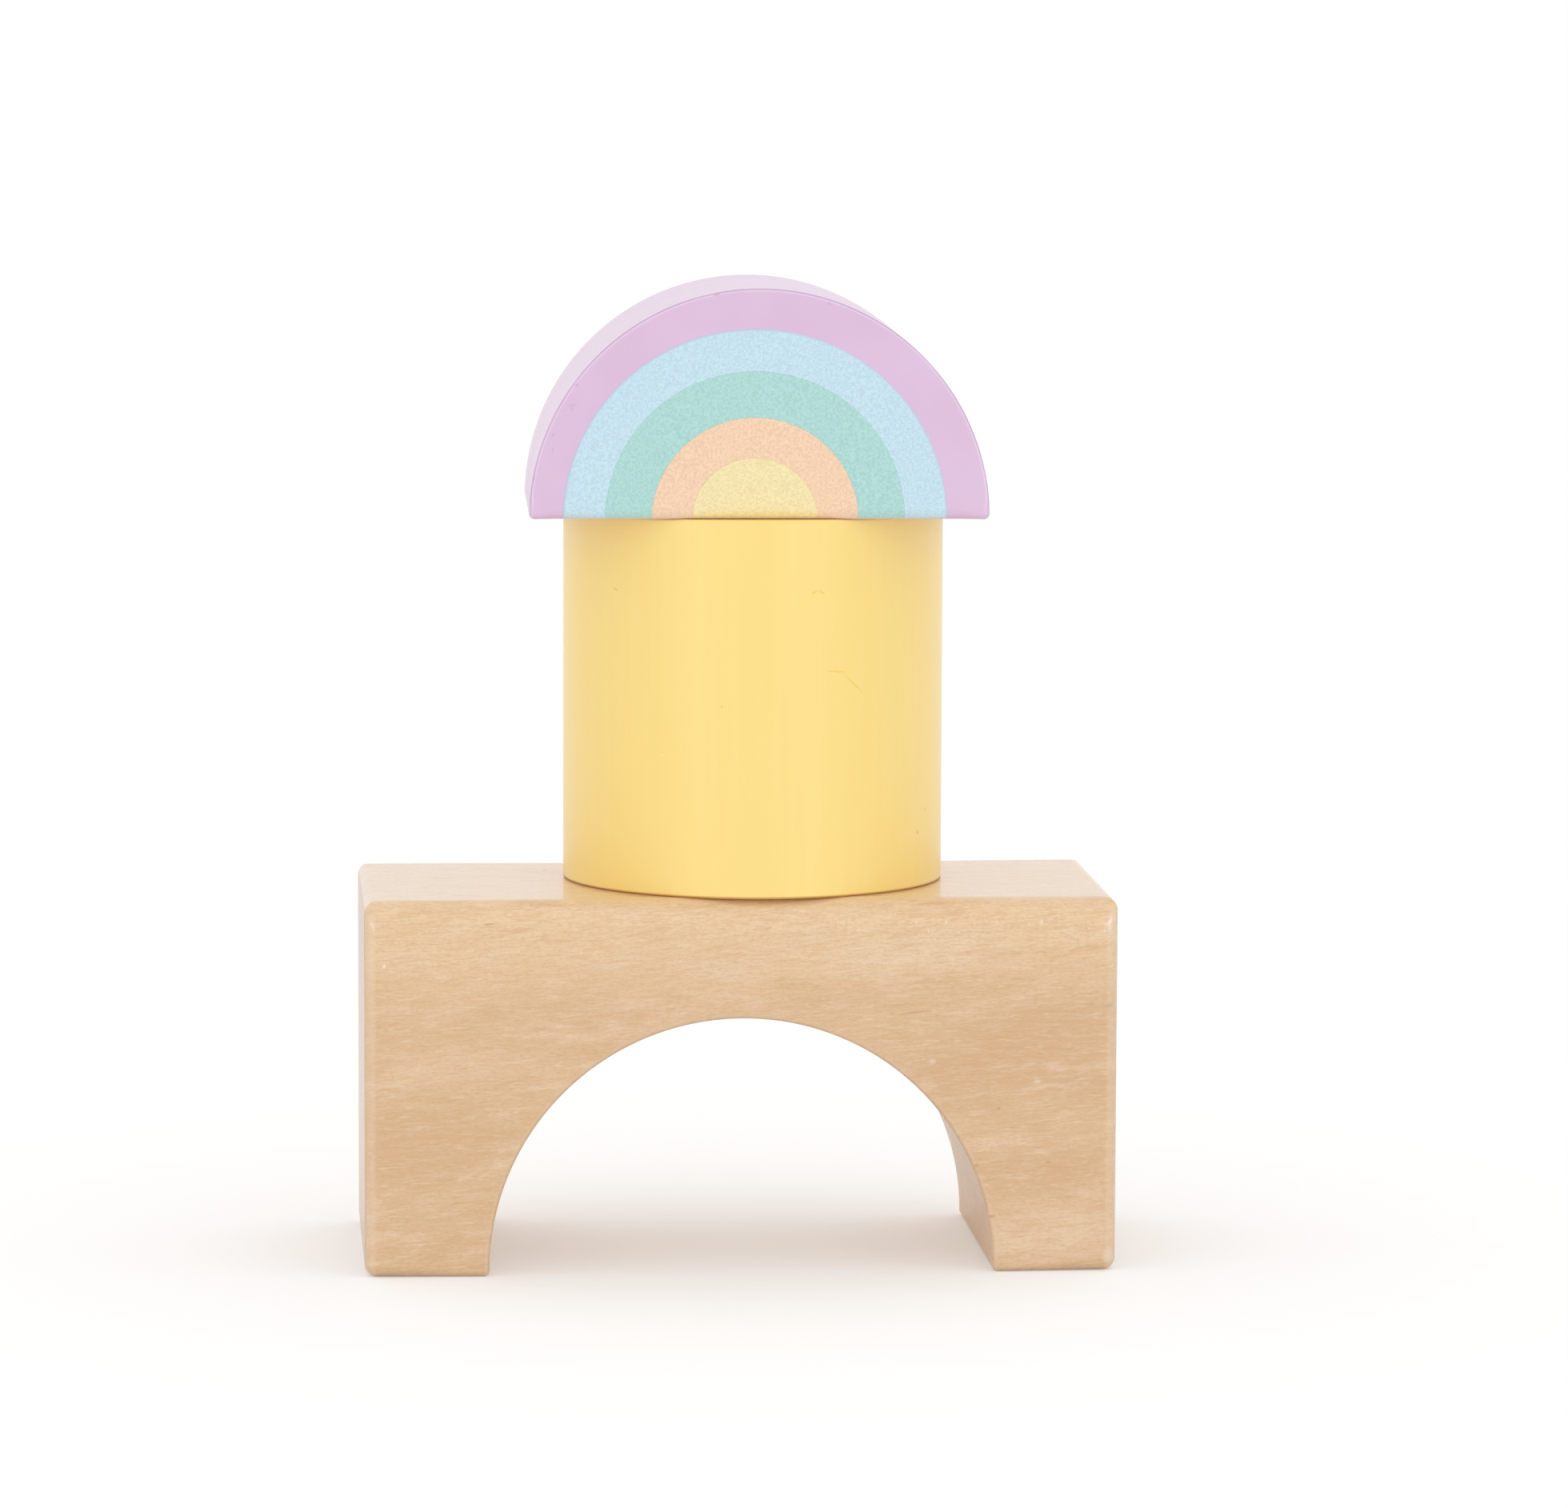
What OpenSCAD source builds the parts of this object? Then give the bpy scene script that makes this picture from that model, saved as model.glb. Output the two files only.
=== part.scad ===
// Three loose wooden building blocks, stacked: a plain arch at the bottom, a painted
// column on it, and on top a painted half-round with a rainbow printed on its face.
// Sizes are in millimetres. +Z is up, -Y is the front and X runs from left to right.

/* [Arch block] */
// Length of the arch block, from side to side
arch_length = 80; // [70:0.5:110]
// Depth of the arch block, from front to back
arch_depth = 36; // [26:0.5:50]
// Height of the arch block
arch_height = 40; // [34:0.5:60]
// Radius of the round opening through the arch
opening_radius = 26.8; // [16:0.1:31]
// Height of the opening's straight walls, below the half circle
opening_spring = 0.6; // [0.2:0.1:5]
// Sanded radius of the arch block's outer edges, apart from its long top edges
arch_edge = 1.3; // [0.4:0.1:3]
// Radius of the arch block's long top edges, at the front and at the back
arch_top_edge = 3; // [0.4:0.1:4]
// Sanded radius of the opening's rims and of the feet beside it
opening_edge = 0.6; // [0.2:0.1:1.5]

/* [Column] */
// Diameter of the column
column_diameter = 41; // [32:0.5:50]
// Height of the column
column_height = 40.2; // [24:0.1:60]
// Sanded radius of the column's two edges
column_edge = 0.3; // [0.2:0.1:3]

/* [Half-round] */
// Width of the half-round, across its flat underside
half_round_width = 48.7; // [46:0.1:70]
// Depth of the half-round, from front to back
half_round_depth = 34; // [26:0.5:50]
// Sanded radius of the rims round the half-round's two faces
half_round_rim = 0.35; // [0.2:0.05:1.5]
// Sanded radius of the edges round the half-round's underside
half_round_edge = 0.6; // [0.3:0.1:2]

/* [Printed rainbow] */
// Radius of the yellow half disc in the middle of the rainbow
yellow_radius = 6.7; // [4:0.05:8]
// Width of the peach band
peach_width = 4.25; // [2:0.05:6]
// Width of the green band
green_width = 4.9; // [2:0.05:6.5]
// Width of the blue band
blue_width = 4.45; // [2:0.05:6]
// Thickness of the printed ink
ink_thickness = 0.1; // [0.05:0.01:0.3]
// Bare line left between one band of ink and the next
ink_gap = 0.04; // [0.02:0.01:0.2]
// How far the print sits to the right of the half-round's middle (negative is left)
print_shift = -0.5; // [-1.5:0.1:1.5]
// How far the rainbow's centre lies below the half-round's underside
print_drop = 0.2; // [0:0.1:2]

/* [Stack] */
// How far the column stands to the right of the arch's middle (negative is left)
column_shift = 2.5; // [-15:0.1:15]
// How far the column's front stands behind the arch's front face
column_set_back = 1.2; // [0:0.1:6]
// How far the half-round stands to the right of the arch's middle (negative is left)
half_round_shift = 2.3; // [-15:0.1:15]
// How far the middle of the half-round's face stands behind the arch's front face
half_round_set_back = 2.7; // [1:0.1:6]
// How far the half-round is turned on the column, in degrees
half_round_turn = -1.6; // [-12:0.1:12]

/* [Hidden] */
$fn = 128;
// How far a cutter reaches past the face that it cuts
cut_over = 2;
half_round_radius = half_round_width / 2;
// The fillet at a foot is no taller than the straight wall that it starts from
foot_edge = min(opening_edge, opening_spring);
// Outer radius of each band of the rainbow
peach_radius = yellow_radius + peach_width;
green_radius = peach_radius + green_width;
blue_radius = green_radius + blue_width;
// The stack is centred on the deepest of its blocks, with all fronts measured from the arch's
stack_depth = max(arch_depth, column_set_back + column_diameter, half_round_set_back + half_round_depth);
front_y = -stack_depth / 2;
arch_y = front_y + arch_depth / 2;
column_y = front_y + column_set_back + column_diameter / 2;
half_round_y = front_y + half_round_set_back + half_round_depth / 2;

// A flat rectangle with round corners, about its middle. The top corners may differ.
module rounded_rectangle(width, height, radius, top_radius) {
    top = is_undef(top_radius) ? radius : top_radius;
    translate([0, (radius - top) / 2])
        square([width, height - radius - top], center = true);
    translate([0, -top / 2])
        square([width - 2 * radius, height - top], center = true);
    translate([0, radius / 2])
        square([width - 2 * top, height - radius], center = true);
    for (x = [-1, 1]) {
        translate([x * (width / 2 - radius), radius - height / 2])
            circle(radius);
        translate([x * (width / 2 - top), height / 2 - top])
            circle(top);
    }
}

// Extrudes a side view (Y across, Z up) along X
module along_x(length) {
    rotate([90, 0, 90])
        linear_extrude(length, center = true)
            children();
}

// Extrudes a front view (X across, Z up) along Y
module along_y(length) {
    rotate([90, 0, 0])
        linear_extrude(length, center = true)
            children();
}

// Turns a profile (radius across, Y up) over the top, half way round the Y axis
module over_the_top() {
    rotate([90, 0, 0])
        rotate_extrude(angle = 180)
            children();
}

// A block that stands on z = 0, with every edge sanded round, the long top edges by their own radius
module sanded_block(width, depth, height, edge, top_edge) {
    translate([0, 0, height / 2])
        intersection() {
            along_x(width)
                rounded_rectangle(depth, height, edge, top_edge);
            along_y(depth)
                rounded_rectangle(width, height, edge);
            linear_extrude(height, center = true)
                rounded_rectangle(width, depth, edge);
        }
}

// Half of the opening's plan, from its middle out to the wall: it flares into a sanded rim
// at the front and at the back
module opening_profile() {
    difference() {
        translate([0, -arch_depth / 2 - cut_over])
            square([opening_radius + opening_edge, arch_depth + 2 * cut_over]);
        translate([opening_radius + 2 * opening_edge, 0])
            rounded_rectangle(4 * opening_edge, arch_depth, opening_edge);
    }
}

// The space under the arch: a half circle on short straight walls, with round feet beside it
module opening_space() {
    translate([0, 0, opening_spring])
        over_the_top()
            opening_profile();
    translate([0, 0, -cut_over])
        linear_extrude(opening_spring + cut_over) {
            opening_profile();
            mirror([1, 0])
                opening_profile();
        }
    for (side = [0, 1])
        mirror([side, 0, 0])
            along_y(arch_depth + 2 * cut_over)
                difference() {
                    translate([opening_radius - cut_over, -cut_over])
                        square([cut_over + foot_edge, cut_over + foot_edge]);
                    translate([opening_radius + foot_edge, foot_edge])
                        circle(foot_edge);
                }
}

// The half-round's front outline: a half disc whose two lower corners are sanded round.
// Each corner circle touches the underside and, from inside, the big circle.
module half_disc() {
    corner_x = sqrt(pow(half_round_radius - half_round_edge, 2) - pow(half_round_edge, 2));
    touch_z = half_round_edge * half_round_radius / (half_round_radius - half_round_edge);
    intersection() {
        circle(half_round_radius);
        translate([-half_round_radius, touch_z])
            square([half_round_width, half_round_radius]);
    }
    translate([-corner_x, 0])
        square([2 * corner_x, touch_z]);
    for (side = [-1, 1])
        translate([side * corner_x, half_round_edge])
            circle(half_round_edge);
}

// Puts what belongs to the half-round, drawn about the middle of its underside, in its place
module on_column() {
    translate([half_round_shift, half_round_y, arch_height + column_height])
        rotate([0, 0, half_round_turn])
            children();
}

// One band of the rainbow, on the flat of the half-round's face
module ink_band(inner, outer) {
    on_column()
        translate([print_shift, -half_round_depth / 2, -print_drop])
            rotate([90, 0, 0])
                linear_extrude(ink_thickness)
                    intersection() {
                        difference() {
                            circle(outer);
                            if (inner > 0)
                                circle(inner);
                        }
                        translate([-outer, print_drop + half_round_edge])
                            square([2 * outer, outer]);
                    }
}

// Clear-lacquered natural wood
module arch_block() {
    color([0.88, 0.75, 0.60])
        translate([0, arch_y, 0])
            difference() {
                sanded_block(arch_length, arch_depth, arch_height, arch_edge, arch_top_edge);
                opening_space();
            }
}

// Turned wood, painted yellow
module column_block() {
    color([1.00, 0.88, 0.57])
        translate([column_shift, column_y, arch_height])
            rotate_extrude()
                intersection() {
                    translate([0, column_height / 2])
                        rounded_rectangle(column_diameter, column_height, column_edge);
                    square([column_diameter, column_height]);
                }
}

// Wood painted lavender: a half disc with its rims and the edges of its underside sanded round
module half_round_block() {
    color([0.88, 0.77, 0.87])
        on_column()
            intersection() {
                over_the_top()
                    intersection() {
                        rounded_rectangle(half_round_width, half_round_depth, half_round_rim);
                        translate([0, -half_round_depth])
                            square([half_round_width, 2 * half_round_depth]);
                    }
                along_y(half_round_depth)
                    half_disc();
                along_x(half_round_width)
                    translate([0, half_round_radius])
                        rounded_rectangle(half_round_depth, half_round_width, half_round_edge);
            }
}

module print_band_blue() {
    color([0.78, 0.89, 0.94])
        ink_band(green_radius + ink_gap, blue_radius);
}

module print_band_green() {
    color([0.71, 0.87, 0.85])
        ink_band(peach_radius + ink_gap, green_radius);
}

module print_band_peach() {
    color([0.97, 0.83, 0.71])
        ink_band(yellow_radius + ink_gap, peach_radius);
}

module print_band_yellow() {
    color([0.96, 0.90, 0.69])
        ink_band(0, yellow_radius);
}

arch_block();
column_block();
half_round_block();
print_band_blue();
print_band_green();
print_band_peach();
print_band_yellow();
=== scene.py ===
# %% [markdown]
# # A stack of three wooden blocks
# The object is a small stack of loose toy blocks: an arch of clear-lacquered wood, a turned column
# painted yellow, and a half-round painted lavender with a rainbow printed on its face. The packed
# solids are loaded first and stay the fixed frame. Every surface below is worked out with numpy, in
# millimetres, in that same frame, and then takes the place of its solid.

# %% Load the frame
import math

import bmesh
import bpy
import numpy as np
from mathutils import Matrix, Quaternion, Vector


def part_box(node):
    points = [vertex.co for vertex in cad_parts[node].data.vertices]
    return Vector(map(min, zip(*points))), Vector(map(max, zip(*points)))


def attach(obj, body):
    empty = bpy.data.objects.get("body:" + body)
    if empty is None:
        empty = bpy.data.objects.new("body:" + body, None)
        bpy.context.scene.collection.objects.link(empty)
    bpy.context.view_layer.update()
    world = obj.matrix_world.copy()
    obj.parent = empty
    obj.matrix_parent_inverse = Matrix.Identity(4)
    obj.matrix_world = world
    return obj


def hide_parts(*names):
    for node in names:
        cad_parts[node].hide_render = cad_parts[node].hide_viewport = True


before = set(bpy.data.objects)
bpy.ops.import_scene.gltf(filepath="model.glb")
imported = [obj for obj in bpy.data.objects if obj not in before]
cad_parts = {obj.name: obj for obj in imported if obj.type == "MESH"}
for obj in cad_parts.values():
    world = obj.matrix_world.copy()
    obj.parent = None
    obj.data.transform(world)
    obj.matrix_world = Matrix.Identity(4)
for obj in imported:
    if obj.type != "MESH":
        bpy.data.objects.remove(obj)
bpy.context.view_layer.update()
MM = 0.001

# %% [markdown]
# ## The camera
# The photograph was taken with a long lens, a little to the left of the stack and a little above it.
# The angles, the distance and the focal length were found by fitting the outlines of the blocks to
# their edges in the picture, so the camera can be written down directly. It looks at a point beside
# the column, because the stack doesn't stand in the middle of the picture.

# %% Camera
AIM = Vector((5.63, -3.5, 53.68)) * MM
AZIMUTH, ELEVATION, ROLL = (math.radians(angle) for angle in (-4.445, 6.294, 0.227))
DISTANCE = 776.9 * MM
FOCAL_PIXELS = 8996.6
PHOTO_WIDTH = 1960

camera = bpy.data.objects.new("camera", bpy.data.cameras.new("camera"))
bpy.context.scene.collection.objects.link(camera)
camera.data.sensor_width = 36
camera.data.lens = FOCAL_PIXELS * camera.data.sensor_width / PHOTO_WIDTH
to_camera = Vector((math.sin(AZIMUTH) * math.cos(ELEVATION),
                    -math.cos(AZIMUTH) * math.cos(ELEVATION),
                    math.sin(ELEVATION)))
camera.location = AIM + DISTANCE * to_camera
level = to_camera.to_track_quat("Z", "Y")
camera.rotation_euler = (level @ Quaternion((0, 0, 1), ROLL)).to_euler()
bpy.context.scene.camera = camera
print("camera at", [round(x / MM, 1) for x in camera.location], "mm")
print("lens:", round(camera.data.lens, 1), "mm")

# %% [markdown]
# ## From a grid of points to a closed mesh
# All three blocks are closed skins without handles, so each can be drawn as a stack of rings, like
# the parallels on a globe, with a pole at each end. Only the formula for the rings differs. One
# helper joins the rings with quads, closes the poles with fans and hands the mesh to Blender. The
# points where rings fall together are merged, and the faces are turned outwards. Close beside each
# sanded edge, mostly at the distance LIP, runs one more line of points: it keeps the shading of the
# flat next to the edge flat.

# %% Mesh helpers
MERGE_DISTANCE = 1e-7
CM3 = 1e-6
LIP = 0.15


def add_mesh(name, points, faces, marks=None):
    """Makes a smooth-shaded mesh object from points in mm and faces. Marks are named arrays with one
    number for each point, which a material can read."""
    mesh = bpy.data.meshes.new(name)
    mesh.from_pydata((points * MM).tolist(), [], faces)
    for mark, values in (marks or {}).items():
        layer = mesh.attributes.new(mark, "FLOAT", "POINT")
        layer.data.foreach_set("value", values.astype(np.float32))
    work = bmesh.new()
    work.from_mesh(mesh)
    bmesh.ops.remove_doubles(work, verts=work.verts, dist=MERGE_DISTANCE)
    bmesh.ops.recalc_face_normals(work, faces=work.faces)
    volume = work.calc_volume(signed=True) / CM3
    open_edges = sum(not edge.is_manifold for edge in work.edges)
    work.to_mesh(mesh)
    work.free()
    mesh.polygons.foreach_set("use_smooth", np.ones(len(mesh.polygons), bool))
    piece = bpy.data.objects.new(name, mesh)
    bpy.context.scene.collection.objects.link(piece)
    print(f"{name}: {len(mesh.polygons)} faces, {volume:.3f} cm3, {open_edges} open edges")
    return piece


def ring_quads(count, around):
    """The quads that join neighbouring rings, and the numbers of a ring's points and of the points
    that follow them. The last point of a ring is followed by its first."""
    here = np.arange(around)
    following = np.roll(here, -1)
    start = np.arange(count - 1)[:, None] * around
    beyond = start + around
    quads = np.stack([start + here, start + following, beyond + following, beyond + here], -1)
    return quads.reshape(-1, 4), here, following


def closed_surface(name, rings, first_pole, last_pole, marks=None):
    """A closed skin from an array of rings (rings x points x 3). Neighbouring rings are joined by
    quads, and a fan closes each end on its pole. Marks are arrays with one number for each point of
    the rings; at the poles they are 0."""
    count, around = rings.shape[:2]
    points = np.vstack([rings.reshape(-1, 3), first_pole, last_pole])
    quads, here, following = ring_quads(count, around)
    last = (count - 1) * around
    pole = np.full(around, count * around)
    first_fan = np.stack([pole, following, here], -1)
    last_fan = np.stack([pole + 1, last + here, last + following], -1)
    faces = quads.tolist() + first_fan.tolist() + last_fan.tolist()
    marks = {mark: np.append(values.ravel(), [0, 0]) for mark, values in (marks or {}).items()}
    return add_mesh(name, points, faces, marks)


def spread(low, high, count, lip=LIP):
    """Numbers from low to high: both ends, and even steps from a lip's distance off each of them."""
    inner = math.copysign(lip, high - low)
    return np.concatenate([[low], np.linspace(low + inner, high - inner, count), [high]])


print("from 0 to 2 in three steps and two lips:", spread(0, 2, 3))

# %% [markdown]
# ## The column
# The column is turned on a lathe, so its skin is one profile carried round the axis. A cylinder with
# a Bevel modifier would look much the same from afar, but its edge would be too even: a real edge is
# broken by hand with sandpaper, so here the edge radius wanders a little on its way round. The edge
# is a quarter circle, and its angles, in BEND, serve every sanded edge below.

# %% Column
COLUMN_EDGE = 0.3
BEND = np.linspace(0, np.pi / 2, 9)
column_low, column_high = (np.array(corner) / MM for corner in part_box("column_block"))
column_middle = (column_low + column_high) / 2
column_radius = (column_high[0] - column_low[0]) / 2
column_height = column_high[2] - column_low[2]


def column_rings(radius, height, turns=288):
    """The profile (r, z) runs out along the underside, round the foot, up the side, round the top
    edge and in along the top. Each of its points goes round the axis: x = r cos a, y = r sin a. The
    sanded edge is a quarter circle of radius e(a), which wanders by a fifth."""
    a = np.linspace(0, 2 * np.pi, turns, endpoint=False)
    foot = COLUMN_EDGE * (1 + 0.12 * np.sin(2 * a + 1.0) + 0.08 * np.sin(5 * a))
    brow = COLUMN_EDGE * (1 + 0.12 * np.sin(3 * a) + 0.08 * np.sin(7 * a + 2.0))
    flat = np.array([0.25, 0.5, 0.75, 0.985])[:, None]
    bend = BEND[:, None]
    side = np.linspace(0, 1, 33)[:, None]
    side_low, side_high = foot + LIP, height - brow - LIP
    r = np.concatenate([flat * (radius - foot),
                        radius - foot + foot * np.sin(bend),
                        np.full((len(side), turns), radius),
                        radius - brow + brow * np.cos(bend),
                        flat[::-1] * (radius - brow)])
    z = np.concatenate([np.zeros((len(flat), turns)),
                        foot * (1 - np.cos(bend)),
                        side_low + side * (side_high - side_low),
                        height - brow + brow * np.sin(bend),
                        np.full((len(flat), turns), height)])
    return np.stack([r * np.cos(a), r * np.sin(a), z], -1)


column_foot = np.array([column_middle[0], column_middle[1], column_low[2]])
column = closed_surface("yellow_column", column_foot + column_rings(column_radius, column_height),
                        column_foot, column_foot + (0, 0, column_height))
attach(column, "column")
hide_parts("column_block")

# %% [markdown]
# ## The half-round
# This block is half a disc, sawn from a board and sanded on every edge. A Boolean cut would give the
# shape, but with long thin faces round the rim. Here the rings follow the half disc's outline
# instead: from a pole in the middle of the face out to the rim, round it, along the side to the back
# and in again. The long lower edges are sanded more than the rest. The block was put on the column by
# hand, a little askew, so the finished points are turned by a degree or two.

# %% Half-round, the outline
HALF_ROUND_DEPTH = 34.0
HALF_ROUND_RIM = 0.35
HALF_ROUND_EDGE = 0.6
LOWER_EDGE = 1.05
RIM_RUN_IN = 2.5
POLE_HEIGHT = 0.42
HALF_ROUND_TURN = math.radians(-1.6)
half_round_low, half_round_high = (np.array(corner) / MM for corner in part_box("half_round_block"))
half_round_base = (half_round_low + half_round_high) / 2
half_round_base[2] = half_round_low[2]
half_round_radius = half_round_high[2] - half_round_low[2]


def on_column(points):
    """Turns points drawn about the middle of the half-round's underside and sets them in place."""
    turn = np.array([[math.cos(HALF_ROUND_TURN), -math.sin(HALF_ROUND_TURN), 0],
                     [math.sin(HALF_ROUND_TURN), math.cos(HALF_ROUND_TURN), 0],
                     [0, 0, 1]])
    return np.asarray(points) @ turn.T + half_round_base


def eased(share):
    """Goes from 0 to 1 as the share does, and is level at both ends: 3 s^2 - 2 s^3."""
    share = np.clip(share, 0, 1)
    return share * share * (3 - 2 * share)


def rim_along(from_end, radius):
    """The rim's radius along a stretch of the outline: at its ends it is that of the corners, and it
    runs in to the stretch's own."""
    return HALF_ROUND_EDGE + eased(from_end / RIM_RUN_IN) * (radius - HALF_ROUND_EDGE)


def half_disc_outline(radius):
    """The outline of the half disc, the way that points outwards there, and the sanded radius of the
    rim. Every stretch is middle + size * outwards: the half circle about the origin, the two small
    corners about their own middles, and the underside about a line that runs between these. The rim
    is narrow along the arc, widens towards the corners, and is widest along the underside."""
    low = math.asin(HALF_ROUND_EDGE / (radius - HALF_ROUND_EDGE))
    corner = math.sqrt((radius - HALF_ROUND_EDGE) ** 2 - HALF_ROUND_EDGE ** 2)
    arc = spread(low, math.pi - low, 361, LIP / radius)
    left = np.linspace(math.pi - low, 1.5 * math.pi, 10)[1:-1]
    right = np.linspace(-0.5 * math.pi, low, 10)[1:-1]
    under = spread(-corner, corner, 121)
    angle = np.concatenate([arc, left, np.full(len(under), 1.5 * math.pi), right])
    outwards = np.stack([np.cos(angle), np.sin(angle)], -1)
    middle_x = np.concatenate([np.zeros(len(arc)), np.full(len(left), -corner),
                               under, np.full(len(right), corner)])
    on_arc = np.arange(len(angle)) < len(arc)
    middle = np.stack([middle_x, np.where(on_arc, 0, HALF_ROUND_EDGE)], -1)
    size = np.where(on_arc, radius, HALF_ROUND_EDGE)
    arc_rim = rim_along(radius * np.minimum(arc - low, math.pi - low - arc), HALF_ROUND_RIM)
    under_rim = rim_along(corner - np.abs(under), LOWER_EDGE)
    corner_rim = np.full(len(left), HALF_ROUND_EDGE)
    rim = np.concatenate([arc_rim, corner_rim, under_rim, corner_rim])
    return middle + size[:, None] * outwards, outwards, rim


print("half-round: radius", round(half_round_radius, 2), "mm, depth", HALF_ROUND_DEPTH, "mm")


# %% Half-round, the skin
def half_round_rings():
    """Each ring is the outline, drawn in by the rim's radius e and moved: on the face it grows from
    the pole, on the rim it goes out by e sin b at a depth of e (1 - cos b), along the side it keeps
    its size. The mark says how far round the rim a point is, from 0 on a face to 1 on the side."""
    outline, outwards, rim = half_disc_outline(half_round_radius)
    line = outline - rim[:, None] * outwards
    pole = np.array([0, POLE_HEIGHT * half_round_radius])
    half = HALF_ROUND_DEPTH / 2
    grow = np.array([0.3, 0.6, 0.85, 0.985])[:, None, None]
    face = pole + grow * (line - pole)
    bend = BEND[:, None]
    turning = line + (rim * np.sin(bend))[..., None] * outwards
    across = spread(-1, 1, 29, 0.01)[1:-1, None]
    side = np.broadcast_to(outline, (len(across),) + outline.shape)
    flat = np.concatenate([face, turning, side, turning[::-1], face[::-1]])
    face_y = np.full(face.shape[:2], -half)
    turning_y = rim * (1 - np.cos(bend)) - half
    y = np.concatenate([face_y, turning_y, across * (half - rim), -turning_y[::-1], -face_y])
    far = np.concatenate([np.zeros(len(face)), BEND / BEND[-1], np.ones(len(across)),
                          BEND[::-1] / BEND[-1], np.zeros(len(face))])
    far = np.broadcast_to(far[:, None], y.shape)
    return np.stack([flat[..., 0], y, flat[..., 1]], -1), pole, {"round_the_rim": far}


half_round_grid, face_pole, rim_mark = half_round_rings()
face_depth = HALF_ROUND_DEPTH / 2
half_round = closed_surface("lavender_half_round", on_column(half_round_grid),
                            on_column((face_pole[0], -face_depth, face_pole[1])),
                            on_column((face_pole[0], face_depth, face_pole[1])), rim_mark)
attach(half_round, "half_round")
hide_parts("half_round_block")

# %% [markdown]
# ## The arch
# The arch is a block with a half-round opening that is open at the bottom, so its skin can be drawn
# as one closed loop, the cross-section, carried along a path: up from the right foot, over the top
# and down to the left foot. On the inside the loop follows the round opening, on the outside it
# follows the straight sides and the top, and the front and back faces are stretched between the two.
# That gives clean quads on every face, and a sanded edge of its own for the rim and for the outside.

# %% Arch, the path
OPENING_RADIUS = 26.8
OPENING_SPRING = 0.6
OPENING_EDGE = 0.6
ARCH_EDGE = 1.3
ARCH_TOP_EDGE = 3.0
TOP_EDGE_WANDER = 0.2
CORNER_TURN = math.radians(1.0)
FIRST_STEP = 0.003
arch_low, arch_high = (np.array(corner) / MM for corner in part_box("arch_block"))
arch_place = (arch_low + arch_high) / 2
arch_place[2] = arch_low[2]
arch_length, arch_depth, arch_height = arch_high - arch_low


def arch_path():
    """For each step of the path: the opening's wall and the block's outline, both drawn in by their
    edge radius, and the way that points outwards at each. A ray turns about the opening's centre by
    the angle t. The wall is a circle in t. On the sides the outline's height goes with tan t, on the
    top its place goes with 1 / tan t, and at the two top corners it only turns on the spot."""
    corner = math.atan2(arch_height, arch_length / 2)
    side_end, top_start = corner - CORNER_TURN, corner + CORNER_TURN
    steps = np.linspace(4 * FIRST_STEP, side_end - FIRST_STEP, 58)
    side = np.concatenate([[0, FIRST_STEP], steps, [side_end]])
    fan = np.linspace(side_end, top_start, 10)[1:-1]
    top = spread(top_start, math.pi - corner - CORNER_TURN, 181, FIRST_STEP)
    t = np.concatenate([side, fan, top, math.pi - fan[::-1], math.pi - side[::-1]])
    inwards = -np.stack([np.cos(t), np.sin(t)], -1)
    wall = np.array([0, OPENING_SPRING]) - (OPENING_RADIUS + OPENING_EDGE) * inwards
    half, tall = arch_length / 2 - ARCH_EDGE, arch_height - 2 * ARCH_EDGE
    still = np.ones(len(side) + len(fan))
    x = half * np.concatenate([still, np.tan(top[0]) / np.tan(top), -still])
    up = np.concatenate([np.tan(side) / np.tan(side[-1]), np.ones(len(fan))])
    z = ARCH_EDGE + tall * np.concatenate([up, np.ones(len(top)), up[::-1]])
    swing = np.linspace(0, math.pi / 2, len(fan) + 2)[1:-1]
    angle = np.concatenate([np.zeros(len(side)), swing, np.full(len(top), math.pi / 2),
                            math.pi / 2 + swing, np.full(len(side), math.pi)])
    outwards = np.stack([np.cos(angle), np.sin(angle)], -1)
    return wall, inwards, np.stack([x, z], -1), outwards


print("arch:", [round(float(x), 2) for x in (arch_length, arch_depth, arch_height)], "mm")

# %% Arch, the cross-section
CLOSE_LINES, WIDE_LINES = 5, 6


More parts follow.
